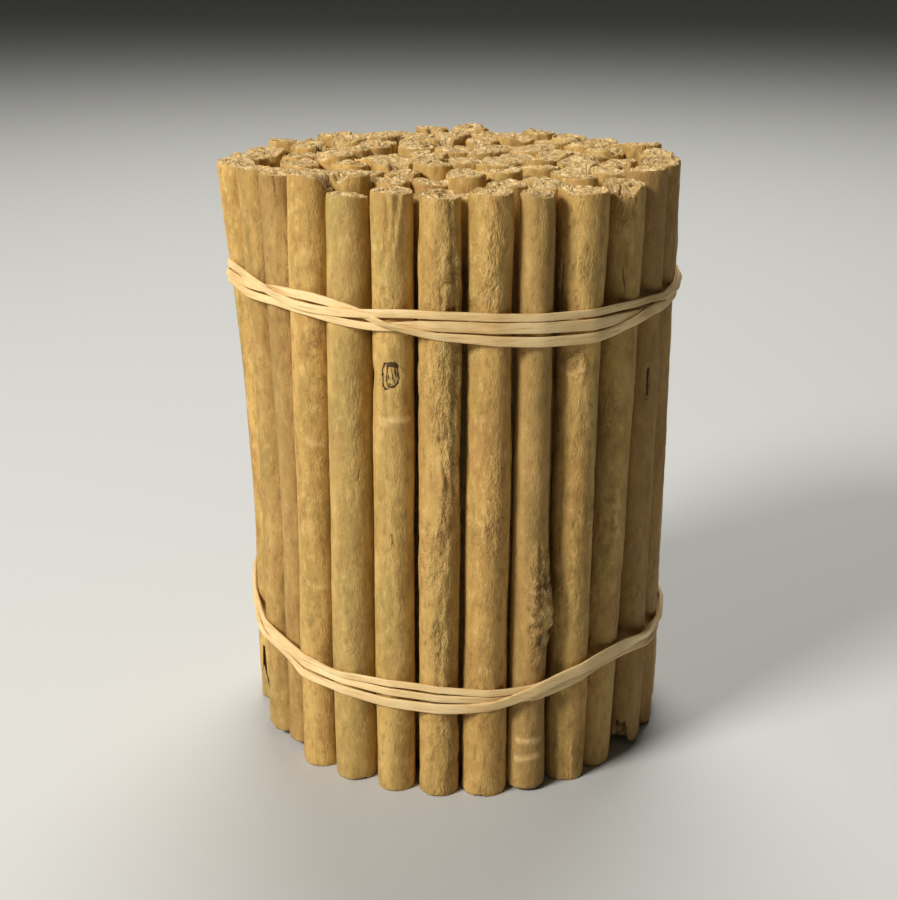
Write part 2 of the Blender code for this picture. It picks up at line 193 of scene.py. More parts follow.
# What each front quill carries: how rough its bark is, where its sheet's edge runs
# (degrees from the front), its marks, the pieces gone from its head and foot
# (facing, half angle, depth in mm), and its lightness and hue. The lightness is the
# bark's own, and on the quills at the right it is also painted shade, darker where
# they turn away from the window.
FRONT_LOOKS = (
    Look(0.35, 150, (), ((60, 50, 0.8),), ((-85, 95, 9.8), (-46, 15, 16.5)), 0.0, 0.0),
    Look(0.4, 130, (Mark("patch", 10, 96, 2.5, 9, 0.3),), (), ((-75, 40, 0.9),), -0.45, -0.1),
    Look(0.5, 140, (
        Mark("crack", -6, 126, 0.25, 1.8, 0.5), Mark("rough", 30, 106, 2.4, 14, 1.1),
        Mark("rough", 25, 78, 1.8, 9, 0.6), Mark("fold", 28, 105, 0.8, 13, 0.9),
        Mark("fold", 20, 84, 0.7, 8, 0.7),
    ), (), (), -0.65, 0.0),
    Look(0.4, 160, (
        Mark("knot", 12, 95.5, 2.6, 2.6, 0.7), Mark("ring", 5, 75, 2.8, 0.8, 0.7),
        Mark("ring", 20, 42.6, 2.4, 0.6, 0.7), Mark("knot", 30, 84, 1.0, 1.2, 0.4),
    ), ((72, 50, 2.4),), (), 0.05, 0.25),
    Look(0.5, 170, (
        Mark("rough", 15, 76, 2.8, 18, 0.5), Mark("knot", -20, 33, 1.4, 2.2, 0.5),
        Mark("swell", 0, 66, 3.5, 20, 0.2), Mark("crack", 24, 70, 0.2, 1.6, 0.5),
    ), (), ((20, 25, 0.4),), 0.1, -0.6),
    Look(0.4, -150, (
        Mark("fold", -14, 118, 1.2, 12, 1.3), Mark("fold", 14, 121, 0.9, 7, 1.0),
        Mark("knot", -14, 106.5, 1.5, 2.6, 0.7), Mark("scar", -4, 91.7, 1.7, 2.6, 1.0),
        Mark("ring", 5, 82.6, 4.2, 0.6, 1.1), Mark("dent", 0, 87, 5.0, 3.6, 0.3),
        Mark("dent", -78, 90.5, 1.6, 2.0, 0.5),
        Mark("crack", 0, 57.7, 0.3, 1.6, 0.6), Mark("crack", -72, 114, 0.25, 2.0, 0.7),
        Mark("rough", 25, 88, 1.8, 6, 0.5),
    ), (), (), 0.0, -0.35),
    Look(1.1, -170, (
        Mark("fold", 38, 97, 1.1, 34, 0.9), Mark("fold", 8, 108, 0.8, 9, 0.8),
        Mark("rough", 32, 92, 2.6, 34, 1.1), Mark("rough", 28, 62, 2.2, 20, 0.9),
        Mark("wrinkle", 30, 112, 2.6, 9, 0.8), Mark("wrinkle", 15, 80, 2.6, 8, 0.7),
        Mark("crack", 46, 91, 0.3, 4, 0.4), Mark("crack", 5, 79, 0.22, 3, 0.45),
        Mark("fold", 12, 74, 0.7, 9, 0.9), Mark("rough", 10, 34, 2.6, 12, 0.8),
        Mark("fold", 18, 36, 0.9, 12, 1.0),
    ), (), (), -0.38, -0.1),
    Look(0.8, 165, (
        Mark("rough", 5, 114, 3.6, 12, 0.7), Mark("ring", 0, 107.5, 2.6, 0.9, 0.5),
        Mark("rough", 18, 66, 2.6, 16, 0.7), Mark("knot", 28, 72, 1.2, 1.8, 0.6),
    ), (), ((-10, 16, 0.5),), -0.15, 0.3),
    Look(0.5, -160, (
        Mark("swell", 62, 43, 3.4, 12, 0.95), Mark("rough", 40, 41, 3.4, 15, 1.0),
        Mark("wrinkle", 38, 42, 3.6, 15, 1.5), Mark("crack", 50, 48, 0.25, 2.6, 0.7),
        Mark("crack", 36, 36, 0.22, 2.0, 0.6), Mark("patch", 20, 33, 2.6, 7, 0.25),
        Mark("ring", 10, 12.5, 3.6, 0.7, 0.8), Mark("ring", 5, 8.0, 3.6, 0.7, 0.8),
    ), ((30, 60, 0.5),), (), -0.65, -0.2),
    Look(0.95, 150, (
        Mark("knot", -14, 106, 0.9, 1.5, 0.7), Mark("knot", -10, 93, 1.5, 2.6, 1.0),
        Mark("wrinkle", -8, 92, 2.6, 4, 1.2), Mark("crack", 0, 59, 0.25, 1.0, 0.5),
        Mark("crack", -58, 110, 0.3, 5, 0.6), Mark("ring", 30, 113, 2.0, 0.6, -0.5),
    ), ((-20, 30, 0.5), (170, 50, 1.5)), (), -0.3, -0.1),
    # From here on the quills turn away from the window: their darker lightness is painted shade as
    # well as the bark's own colour.
    Look(0.8, 170, (
        Mark("crack", 6, 108, 0.25, 2.6, 0.7), Mark("wrinkle", 14, 57, 3.0, 9, 1.1),
        Mark("rough", 0, 80, 2.6, 8, 0.6), Mark("rough", -10, 122, 3.0, 5, 1.2),
    ), ((-12, 60, 1.4),), (), -0.45, -0.3),
    Look(0.6, -165, (
        Mark("slit", 25, 85.2, 0.42, 3.2, 1.0), Mark("rough", 20, 40, 2.0, 10, 0.6),
    ), (), ((-10, 34, 5.0),), -1.0, -0.2),
    Look(0.4, 150, (), (), (), -0.8, 0.1),
)

# Marks that a quill at the back may carry: kind, reach across and along in mm, strength.
BACK_MARKS = (
    ("rough", 2.6, 14, 0.9), ("rough", 2.2, 8, 1.1), ("wrinkle", 2.8, 9, 0.9),
    ("knot", 1.5, 2.2, 0.8), ("fold", 1.0, 16, 1.0), ("fold", 0.9, 9, 0.9),
    ("ring", 3.4, 0.8, 0.9), ("crack", 0.25, 2.4, 0.7), ("patch", 2.5, 7, 0.3),
    ("dent", 3.0, 4.0, 0.4), ("swell", 3.4, 9, 0.35),
)


# ------------------------------------------------------------------- laying out quills
def place(azimuth, radius):
    """The point at this azimuth from the front and this distance from the axis."""
    angle = math.radians(azimuth)
    return radius * math.sin(angle), -radius * math.cos(angle)


def outer_quills(rng):
    """The outer ring: the front quills as listed, the rest spaced behind them."""
    quills = []
    for number, row in enumerate(FRONT_QUILLS):
        azimuth, head, middle, foot, top, bottom, lean, inset = row
        x, y = place(azimuth, BUNDLE_RADIUS - (middle / 2 + inset) * MM)
        lean_x, lean_y = place(azimuth, lean * MM)
        out, along = FOOT_SHIFTS.get(number, (0.0, 0.0))
        shift = Vector(place(azimuth, out * MM)) + Vector(place(azimuth + 90, along * MM))
        quills.append(Quill(x, y, head * MM, middle * MM, foot * MM, top * MM, bottom * MM,
                            lean_x, lean_y, *shift))
    widths = rng.uniform(7.7, 8.7, BACK_COUNT)
    beside = [row[2] for row in (FRONT_QUILLS[-1], FRONT_QUILLS[0])]
    chain = np.concatenate([beside[:1], widths, beside[1:]])
    steps = (chain[:-1] + chain[1:]) / 2
    first = FRONT_QUILLS[-1][0]
    last = FRONT_QUILLS[0][0] + 360
    azimuths = first + (last - first) * np.cumsum(steps) / steps.sum()
    for number in range(BACK_COUNT):
        width = widths[number]
        x, y = place(azimuths[number], BUNDLE_RADIUS - width / 2 * MM)
        lean_x, lean_y = place(azimuths[number], BACK_LEANS.get(number, 0.0) * MM)
        head, foot = width + rng.uniform(-0.4, 0.4, 2)
        top = 127.4 + rng.uniform(-1.0, 1.4)
        bottom = max(0.0, rng.uniform(-1.5, 1.2))
        quills.append(Quill(x, y, head * MM, width * MM, foot * MM, top * MM, bottom * MM,
                            lean_x, lean_y))
    return quills


def inner_quills(rng, ring):
    """The quills inside the ring, settled by pushing overlapping neighbours apart."""
    widths = rng.uniform(7.4, 9.0, INNER_COUNT) * MM
    sunflower_turn = math.pi * (3 - math.sqrt(5))
    reach = np.sqrt(np.arange(INNER_COUNT) / INNER_COUNT) * INNER_REACH
    angles = np.arange(INNER_COUNT) * sunflower_turn
    points = np.stack([reach * np.cos(angles), reach * np.sin(angles)], axis=1)
    fixed = np.array([[quill.x, quill.y] for quill in ring])
    radii = np.concatenate([widths, [quill.middle for quill in ring]]) / 2
    for _ in range(INNER_ROUNDS):
        everything = np.concatenate([points, fixed])
        apart = points[:, None] - everything[None]
        distance = np.linalg.norm(apart, axis=2)
        distance[np.arange(INNER_COUNT), np.arange(INNER_COUNT)] = 1.0
        overlap = np.maximum(radii[:INNER_COUNT, None] + radii[None] - distance, 0.0)
        push = (apart / distance[..., None] * overlap[..., None]).sum(axis=1)
        points = points + INNER_PUSH * push
        points[0] = 0.0
    quills = []
    for (x, y), width in zip(points, widths):
        top = 127.2 + 0.75 * rng.uniform(-1.3, 1.3)
        for azimuth, radius, depth in LOW_HEADS:
            low_x, low_y = place(azimuth, radius * MM)
            if math.hypot(x - low_x, y - low_y) < LOW_HEAD_REACH:
                top -= depth
        bottom = 0.0 if rng.random() < LONG_FEET else SHORT_FOOT
        quills.append(Quill(x, y, width, width, width, top * MM, bottom * MM))
    quills[0] = quills[0]._replace(bottom=0.0)
    return quills


def middle_of(quill, height):
    """Where the middle of a quill is at these heights, as two arrays."""
    share = (height / QUILL_LENGTH - LEAN_START) / (1 - LEAN_START)
    share = np.maximum(0.0, share)
    lean = share * share * (1.6 - 0.6 * share)
    low = np.clip(1 - height / QUILL_LENGTH, 0.0, 1.0) ** 1.5
    return (quill.x + quill.lean_x * lean + quill.foot_x * low,
            quill.y + quill.lean_y * lean + quill.foot_y * low)


def width_of(quill, height):
    """The width of a quill at these heights: head, middle and foot joined by a curve."""
    share = np.clip(height / QUILL_LENGTH, 0.0, 1.0)
    part = np.abs(share - 0.5) * 2
    end = np.where(share > 0.5, quill.head, quill.foot)
    return quill.middle + (end - quill.middle) * part * part


# --------------------------------------------------------------------- noise in arrays
def hashed(cells, seed):
    """A repeatable number from 0 to 1 for each whole-number cell."""
    mixed = cells[..., 0] * 374761393 + cells[..., 1] * 668265263 + cells[..., 2] * 974634777
    mixed = (mixed + seed * 1274126177) & 0xFFFFFFFF
    mixed = ((mixed ^ (mixed >> 13)) * 1274126177) & 0xFFFFFFFF
    mixed = ((mixed ^ (mixed >> 15)) * 668265263) & 0xFFFFFFFF
    return ((mixed ^ (mixed >> 16)) & 0xFFFF) / 65535.0


def lumps(points, seed):
    """Smooth noise from -1 to 1, about one lump to each unit of length."""
    low = np.floor(points).astype(np.int64)
    part = points - low
    part = part * part * (3 - 2 * part)
    total = np.zeros(points.shape[:-1])
    for corner in itertools.product((0, 1), repeat=3):
        near = np.where(np.array(corner) == 1, part, 1 - part)
        total += near[..., 0] * near[..., 1] * near[..., 2] * hashed(low + corner, seed)
    return total * 2 - 1


def rise(low, high, value):
    """0 below low, 1 above high, smooth between."""
    share = np.clip((value - low) / (high - low), 0.0, 1.0)
    return share * share * (3 - 2 * share)


# ------------------------------------------------------------------- surface of a quill
FAR = 9.0  # a spot this many mark widths away carries nothing


class Bark:
    """What the marks and the bark itself add to each vertex of a quill's side."""

    def __init__(self, like):
        self.depth = np.zeros_like(like)
        self.dark = np.zeros_like(like)
        self.rough = np.zeros_like(like)
        self.scar = np.stack([like * 0 + FAR, like * 0 + FAR, like * 0], -1)
        self.knot = self.scar.copy()
        self.crack = self.scar.copy()


def add_marks(marks, radius, facing, height, points, seed):
    """The marks of one quill, cut into its surface and noted for its colour."""
    bark = Bark(height)
    wobble = lumps(points * 0.9, seed + 61)
    for number, mark in enumerate(marks):
        turn = (facing - mark.facing + 180) % 360 - 180
        arc = np.radians(turn) * radius
        rung = height - mark.height
        u, v = arc / mark.across, rung / mark.along
        near = np.hypot(u, v)
        inside = rise(1.15, 0.75, near)
        spot = np.stack([u, v, u * 0 + mark.strength], -1)
        if mark.kind == "scar":
            square = (np.abs(u) ** 4 + np.abs(v) ** 4) ** 0.25
            rim = np.exp(-(((square - 1.0) / 0.25) ** 2))
            bark.depth += mark.strength * (-0.18 * rim - 0.1 * rise(1.1, 0.8, square))
            bark.scar = np.where((near < 3.2)[..., None], spot, bark.scar)
        elif mark.kind == "knot":
            bark.depth += mark.strength * 0.3 * np.cos(near * 5.0 + wobble) * np.exp(
                -near * near * 0.8)
            bark.knot = np.where((near < 3.2)[..., None], spot, bark.knot)
        elif mark.kind in ("crack", "slit"):
            bend = 0.25 * wobble + 0.3 * np.sin(rung * 0.55 + number)
            line = (arc + bend * (mark.kind == "crack")) / mark.across
            reach = rise(1.0, 0.7, np.abs(v))
            bark.depth -= mark.strength * 0.5 * np.exp(-line * line) * reach
            where = (np.abs(v) < 1.3) & (np.abs(line) < 8)
            note = np.stack([line, v, u * 0 + mark.strength], -1)
            bark.crack = np.where(where[..., None], note, bark.crack)
        elif mark.kind == "fold":
            slow = lumps(np.stack([rung * 0.16, rung * 0.0, rung * 0.0 + number], -1), seed + 7)
            line = arc + 1.1 * slow + 0.25 * wobble
            length = rise(1.0, 0.75, np.abs(v))
            lip = rise(-0.15, 0.25, line) * np.exp(-np.maximum(line, 0.0) / mark.across)
            groove = np.exp(-(((line + 0.3) / 0.35) ** 2))
            bark.depth += mark.strength * length * (0.46 * lip - 0.34 * groove)
            # The lip is painted lighter as highlight and the groove darker as shade.
            bark.dark += mark.strength * length * (0.16 * groove - 0.16 * lip)
        elif mark.kind == "ring":
            slow = 0.5 * lumps(np.stack([arc * 0.5, arc * 0.0, arc * 0.0 + number], -1), seed)
            line = (rung + slow) / mark.along
            reach = rise(1.0, 0.7, np.abs(u))
            bark.depth += mark.strength * reach * (
                0.2 * np.exp(-line * line) - 0.16 * np.exp(-((line - 1.3) ** 2)))
            bark.dark -= mark.strength * reach * 0.5 * np.exp(-line * line)
        elif mark.kind == "rough":
            bark.rough += mark.strength * rise(1.3, 0.3, near)
            bark.dark += 0.03 * mark.strength * rise(1.2, 0.5, near)
        elif mark.kind == "wrinkle":
            ridge = np.abs(lumps(points * np.array([0.45, 0.45, 0.62]), seed + 80 + number))
            crease = rise(0.22, 0.0, ridge)
            bark.depth += mark.strength * rise(1.2, 0.5, near) * (0.6 * ridge - 0.3 * crease)
            # The ridges are painted lighter as highlight and the creases darker as shade.
            bark.dark += mark.strength * rise(1.1, 0.5, near) * (0.06 * crease - 0.28 * ridge)
            bark.rough += 0.3 * mark.strength * inside
        elif mark.kind == "patch":
            bark.dark += mark.strength * 0.5 * inside
        elif mark.kind == "swell":
            bark.depth += mark.strength * np.exp(-near * near)
        elif mark.kind == "dent":
            bark.depth -= mark.strength * np.exp(-near * near)
    return bark


def bark_side(look, radius, facing, height, seed):
    """How the bark of one quill stands in or out, in mm, and what its colour follows."""
    turn = np.radians(facing)
    points = np.stack([np.sin(turn) * radius, -np.cos(turn) * radius, height], -1) + seed * 7.7
    long = np.array([1.0, 1.0, 0.3])
    warp = np.stack([lumps(points * long * 0.35, seed + 1), lumps(points * long * 0.35, seed + 2),
                     np.zeros_like(height)], -1)
    points = points + 0.9 * warp
    bark = add_marks(look.marks, radius, facing, height, points, seed)
    coarse = look.rough * (0.6 + 0.7 * lumps(points * 0.13, seed + 3)) + bark.rough
    coarse = np.maximum(coarse, 0.1)
    folds = 1 - np.abs(lumps(points * long * 0.8, seed + 4)) * 2.2
    grain = lumps(points * np.array([0.75, 0.75, 0.42]), seed + 5)
    slow = lumps(points * np.array([0.16, 0.16, 0.06]), seed + 6)
    bark.depth += coarse * (0.11 * folds + 0.15 * grain) + 0.26 * slow
    # the free edge of the rolled sheet: the wall grows round the quill and drops there
    edge = (facing - look.seam - 9 * lumps(points * np.array([0.0, 0.0, 0.05]), seed + 8)) % 360
    bark.depth += 0.24 * (edge / 360 - 0.5) * rise(0, 9, edge)
    bark.dark += 0.3 * np.exp(-((edge / 5) ** 2)) + 0.06 * coarse * rise(-0.1, -0.9, folds)
    bark.dark = np.clip(bark.dark, -0.5, 1.3)
    bark.rough = coarse
    return bark


def curled_end(x, y, seed):
    """The cut end at points of a unit disc: cracks between the rolled layers from 0 to 1,
    how far each layer stands up in mm, and where each point lies in its scroll."""
    rng = np.random.default_rng(seed)
    count = 1 + int(rng.random() * 2.8)
    pitch = rng.uniform(0.2, 0.28)
    hand = 1 if rng.random() < 0.5 else -1
    start = rng.uniform(0, 2 * math.pi)
    openness = rng.uniform(0.35, 0.95)
    flat = np.stack([x, y, np.full_like(x, 0.5)], -1)
    bent_x = x + 0.16 * lumps(flat * 2.6, seed + 11) + 0.05 * lumps(flat * 6.5, seed + 21)
    bent_y = y + 0.16 * lumps(flat * 2.6, seed + 12) + 0.05 * lumps(flat * 6.5, seed + 22)
    scrolls = []
    for number in range(count):
        out = rng.uniform(0.05, 0.25) if count == 1 else rng.uniform(0.3, 0.5)
        angle = start + 2 * math.pi * number / count
        scrolls.append((bent_x - out * math.cos(angle), bent_y - out * math.sin(angle)))
    distances = np.array([np.hypot(*scroll) for scroll in scrolls])
    nearest = distances.argmin(axis=0)
    away_x = np.choose(nearest, [scroll[0] for scroll in scrolls]) / pitch
    away_y = np.choose(nearest, [scroll[1] for scroll in scrolls]) / pitch * hand
    drift = 0.3 * lumps(flat * 2.2, seed + 13)
    around_scroll = np.arctan2(away_y, away_x) / (2 * math.pi)
    phase = np.hypot(away_x, away_y) - around_scroll + drift
    part = phase - np.floor(phase)
    crack = np.clip(1 - np.minimum(part, 1 - part) / 0.2, 0.0, 1.0)
    if count > 1:
        ordered = np.sort(distances, axis=0)
        crack = np.maximum(crack, np.clip(1 - (ordered[1] - ordered[0]) / 0.12, 0.0, 1.0))
    away = np.hypot(x, y)
    loose = rise(-0.2, 0.7, lumps(flat * 2.4, seed + 14) + openness - 0.35)
    crack = crack * loose * rise(0.98, 0.88, away)
    hollow = rise(0.16, 0.05, distances.min(axis=0)) * (openness > 0.6)
    skin = np.exp(-(((away - 0.85) / 0.045) ** 2)) * rise(0.0, 0.6, lumps(flat * 1.3, seed + 15))
    crack = np.maximum(crack, np.maximum(0.8 * skin, hollow))
    layer = np.stack([np.floor(phase), np.floor(around_scroll * 3 + phase * 0.7), flat[..., 2]],
                     -1).astype(np.int64)
    steps = hashed(layer, seed + 23) - 0.5
    crumbs = 0.65 * lumps(flat * 3.6, seed + 16) + 0.35 * lumps(flat * 9.0, seed + 17)
    stand = (0.62 * steps + 0.34 * crumbs) * rise(1.0, 0.9, away)
    return np.clip(crack, 0.0, 1.0), stand, np.stack([away_x, away_y, drift], -1)


def chipped(chips, facing):
    """How far the rim is broken away at each facing, in mm."""
    gone = np.zeros_like(facing)
    for middle, half, depth in chips:
        turn = np.abs((facing - middle + 180) % 360 - 180)
        gone = np.maximum(gone, depth * rise(half, half * 0.45, turn))
    return gone


def mesh_from(shape, name):
    """A finished bmesh as a mesh of this name."""
    mesh = bpy.data.meshes.new(name)
    shape.to_mesh(mesh)
    shape.free()
    return mesh


def drawn_up(tube, edge, rings):
    """Pulls an edge loop up into this many more rings, one unit apart, to the last loop."""
    for _ in range(rings):
        made = bmesh.ops.extrude_edge_only(tube, edges=edge)["geom"]
        edge = [g for g in made if isinstance(g, bmesh.types.BMEdge) and g.is_boundary]
        corners = [g for g in made if isinstance(g, bmesh.types.BMVert)]
        bmesh.ops.translate(tube, vec=(0.0, 0.0, 1.0), verts=corners)
    return edge


def places_in(mesh, sides):
    """The ring and the step round it of each vertex of a blank, and how far out it is."""
    spots = np.empty(len(mesh.vertices) * 3)
    mesh.vertices.foreach_get("co", spots)
    spots = spots.reshape(-1, 3)
    ring = np.rint(spots[:, 2]).astype(int)
    angle = np.arctan2(spots[:, 1], spots[:, 0]) / (2 * math.pi)
    return ring, np.rint(angle * sides).astype(int) % sides, np.hypot(spots[:, 0], spots[:, 1])


def set_spots(mesh, spots):
    """Moves the vertices to these places."""
    mesh.vertices.foreach_set("co", spots.astype(np.float32).ravel())


def rolled_blank(sides, cap_rings, side_rings):
    """A closed tube of unit width, its rings one unit apart, to be shaped as quills."""
    tube = bmesh.new()
    bmesh.ops.create_circle(tube, cap_ends=True, cap_tris=True, segments=sides, radius=1.0)
    edge = drawn_up(tube, [e for e in tube.edges if e.is_boundary],
                    2 * cap_rings + side_rings - 1)
    lid = bmesh.ops.contextual_create(tube, geom=edge)["faces"]
    bmesh.ops.poke(tube, faces=lid)
    bmesh.ops.recalc_face_normals(tube, faces=tube.faces)
    mesh = mesh_from(tube, "rolled_blank")
    ring, step, away = places_in(mesh, sides)
    middle = away < 0.5
    ring[middle] = np.where(ring[middle] == 0, -1, ring.max() + 1)
    return Blank(mesh, ring, step, sides, cap_rings, side_rings)


def side_shares(count, crowding):
    """Heights of the side rings from 0 to 1, closer together near the two ends."""
    even = np.linspace(-1.0, 1.0, count)
    bent = np.sign(even) * (1 - (1 - np.abs(even)) ** crowding)
    return (bent + 1) / 2


def quill_rims(quill, look, facing, seed):
    """Heights of the head and foot rims in mm at each facing, and the head's slope."""
    turn = np.radians(facing)
    rim = np.stack([np.sin(turn) * 4.5, np.cos(turn) * 4.5, turn * 0 + seed], -1)
    ragged = (0.16 * lumps(rim * 0.9, seed + 31) + 0.14 * lumps(rim * 2.4, seed + 32)
              + 0.1 * lumps(rim * 5.0, seed + 33))
    head_gone, foot_gone = chipped(look.head_chips, facing), chipped(look.foot_chips, facing)
    torn = lumps(rim * 1.6, seed + 34) + 0.4 * lumps(rim * 4.0, seed + 35)
    rng = np.random.default_rng(seed + 500)
    tilt_x, tilt_y = rng.uniform(-0.35, 0.35, 2)
    slope = tilt_x * np.sin(turn) + tilt_y * np.cos(turn)
    head = quill.top / MM + ragged + slope - head_gone - torn * np.minimum(head_gone, 1.8) * 0.45
    foot = quill.bottom / MM + np.abs(ragged) * 0.8 + foot_gone
    foot += torn * np.minimum(foot_gone, 1.8) * 0.45
    return head, foot, slope


def quill_cap(quill, look, blank, rim, rim_radius, slope, is_head, seed):
    """Points of one cut end from its rim inwards, with its cracks and scrolls."""
    facing = np.arange(blank.sides) * 360.0 / blank.sides
    turn = np.radians(facing)
    inward = np.linspace(1.0, CAP_MIDDLE, blank.cap_rings + 1)[1:]
    share = np.concatenate([inward, [0.0]])[:, None]
    x, y = share * np.sin(turn), share * np.cos(turn)
    crack, stand, scroll = curled_end(x, y, seed + (400 if is_head else 900))
    chips = look.head_chips if is_head else look.foot_chips
    gone = chipped(chips, facing) * rise(0.35, 0.95, share)
    crack = np.clip(crack + 0.3 * gone, 0.0, 1.0)
    sunk = crack * (0.6 + 1.1 * np.clip(0.5 - stand, 0.0, 1.0))
    reach = rise(0.8, 1.0, share)
    if is_head:
        base = quill.top / MM + slope * share - gone + 0.1
        up = base * (1 - reach) + rim * reach - sunk + stand * (1 - crack)
    else:
        base = quill.bottom / MM + gone + 0.45
        up = base * (1 - reach) + rim * reach + sunk - stand * (1 - crack)
    up = np.maximum(up, 0.0)
    middle_x, middle_y = middle_of(quill, up * MM)
    spots = np.stack([middle_x + share * rim_radius * MM * np.sin(turn),
                      middle_y - share * rim_radius * MM * np.cos(turn), up * MM], -1)
    return spots, crack, scroll


def quill_surface(quill, look, blank, shares, seed):
    """One quill laid out ring by ring, from the foot's middle up to the head's middle."""
    facing = np.arange(blank.sides) * 360.0 / blank.sides
    turn = np.radians(facing)
    head_rim, foot_rim, slope = quill_rims(quill, look, facing, seed)
    height = foot_rim + (head_rim - foot_rim) * shares[:, None]
    across = np.broadcast_to(facing, height.shape)
    radius = width_of(quill, height * MM) / 2 / MM
    bark = bark_side(look, radius, across, height, seed)
    from_end = np.minimum(head_rim - height, height - foot_rim)
    radius = radius + bark.depth - 0.2 * np.exp(-from_end / 0.35)
    middle_x, middle_y = middle_of(quill, height * MM)
    side = np.stack([middle_x + radius * MM * np.sin(turn),
                     middle_y - radius * MM * np.cos(turn), height * MM], -1)
    foot, foot_crack, foot_scroll = quill_cap(
        quill, look, blank, foot_rim, radius[0], slope, False, seed)
    head, head_crack, head_scroll = quill_cap(
        quill, look, blank, head_rim, radius[-1], slope, True, seed)

    def stacked(at_foot, along, at_head):
        return np.concatenate([at_foot[::-1], along, at_head])

    def side_only(values, fill):
        blank_end = np.broadcast_to(np.array(fill, float), foot.shape[:2] + values.shape[2:])
        return stacked(blank_end, values, blank_end)

    nothing = (FAR, FAR, 0.0)
    return Surface(
        stacked(foot, side, head),
        stacked(foot_crack * 0 + 1, height * 0, head_crack * 0 + 1),
        stacked(foot_crack, height * 0, head_crack),
        side_only(bark.dark, 0.0),
        side_only(bark.rough, 1.0),
        stacked(foot_scroll, side * 0, head_scroll),
        side_only(bark.scar, nothing),
        side_only(bark.knot, nothing),
        side_only(bark.crack, nothing),
    )


def shape_quill(quill, look, blank, shares, seed):
    """The same values in the order of the blank's vertices."""
    surface = quill_surface(quill, look, blank, shares, seed)
    ring = blank.ring + 1  # the middle of the foot is ring -1 in the blank
    picked = []
    for values in surface:
        values = values.copy()
        for pole in (0, -1):
            values[pole] = values[pole].mean(axis=0)
        picked.append(values[ring, blank.step])
    return Surface(*picked)


def corner_uv(blank, cell, side_part):
    """Where each face corner of one quill lies in its cell of the piece's flat map."""
    left, low, wide, tall = cell
    mesh = blank.mesh
    corners = np.empty(len(mesh.loops), int)
    mesh.loops.foreach_get("vertex_index", corners)
    sizes = np.empty(len(mesh.polygons), int)
    mesh.polygons.foreach_get("loop_total", sizes)
    face = np.repeat(np.arange(len(sizes)), sizes)
    ring, step = blank.ring[corners], blank.step[corners].astype(float)
    first, last = blank.cap_rings, blank.cap_rings + blank.side_rings - 1
    starts = np.concatenate([[0], np.cumsum(sizes)[:-1]])
    lowest, highest = np.minimum.reduceat(ring, starts), np.maximum.reduceat(ring, starts)
    wraps = np.maximum.reduceat(step, starts) - np.minimum.reduceat(step, starts) > 2
    step[wraps[face] & (step == 0)] = blank.sides
    on_side = ((lowest >= first) & (highest <= last))[face]
    on_foot = (highest <= first)[face]
    inset = 0.02
    u = left + wide * (inset + (1 - 2 * inset) * step / blank.sides)
    v = low + tall * side_part * (inset + (1 - 2 * inset) * (ring - first) / (last - first))
    ring_share = np.concatenate([[0.0], np.linspace(1.0, CAP_MIDDLE, blank.cap_rings + 1)[:0:-1],
                                 [1.0]])
    foot_share = ring_share[np.clip(ring + 1, 0, blank.cap_rings + 1)]
    top = 2 * blank.cap_rings + blank.side_rings
    head_share = ring_share[np.clip(top - ring, 0, blank.cap_rings + 1)]
    share = np.where(on_foot, foot_share, head_share)
    turn = blank.step[corners] * 2 * math.pi / blank.sides
    disc = np.where(on_foot, 0.25, 0.75)
    size_u, size_v = 0.23 * wide, 0.47 * tall * (1 - side_part)
    disc_u = left + wide * disc + size_u * share * np.cos(turn)
    disc_v = low + tall * (side_part + (1 - side_part) / 2) + size_v * share * np.sin(turn)
    return np.stack([np.where(on_side, u, disc_u), np.where(on_side, v, disc_v)], -1)


def add_values(mesh, name, values):
    """Notes a number or a vector at each vertex, for the material to read."""
    kind, field = ("FLOAT", "value") if values.ndim == 1 else ("FLOAT_VECTOR", "vector")
    layer = mesh.attributes.new(name, kind, "POINT")
    layer.data.foreach_set(field, values.astype(np.float32).ravel())


def quill_piece(name, members, blank, shares, flat_map, material):
    """One piece made of several quills. members are (quill, look, seed) rows."""
    joined = bmesh.new()
    for _ in members:
        joined.from_mesh(blank.mesh)
    mesh = mesh_from(joined, name)
    parts = [shape_quill(quill, look, blank, shares, seed) for quill, look, seed in members]
    whole = Surface(*(np.concatenate(values) for values in zip(*parts)))
    set_spots(mesh, whole.spots)
    for layer, values in (("cut_end", whole.end), ("layer_crack_shade", whole.crack),
                          ("mark_stain_shade_and_highlight", whole.dark), ("bark_rough", whole.rough),
                          ("scroll_spot", whole.scroll), ("scar_spot", whole.scar),
                          ("knot_spot", whole.knot), ("crack_line", whole.line)):
        add_values(mesh, layer, values)
    each = len(blank.ring)
    add_values(mesh, "quill_tone_and_shade", np.repeat([look.tone for _, look, _ in members], each))
    add_values(mesh, "quill_tint", np.repeat([look.tint for _, look, _ in members], each))
    columns, rows, side_part = flat_map
    cells = [((number % columns) / columns, (number // columns) / rows, 1 / columns, 1 / rows)
             for number in range(len(members))]
    flat = np.concatenate([corner_uv(blank, cell, side_part) for cell in cells])
    layer = mesh.uv_layers.new(name="OFBake")
    layer.uv.foreach_set("vector", flat.astype(np.float32).ravel())
    mesh.update()
    return add_piece(name, mesh, material)


def set_down(name, data):
    """An object of this name in the scene."""
    placed = bpy.data.objects.new(name, data)
    bpy.context.scene.collection.objects.link(placed)
    return placed


def add_piece(name, mesh, material, smooth=True):
    """A finished piece of the bundle, which rides on its one body."""
    mesh.materials.append(material)
    if smooth:
        mesh.shade_smooth()
    piece = set_down(name, mesh)
    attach(piece, "root")
    return piece


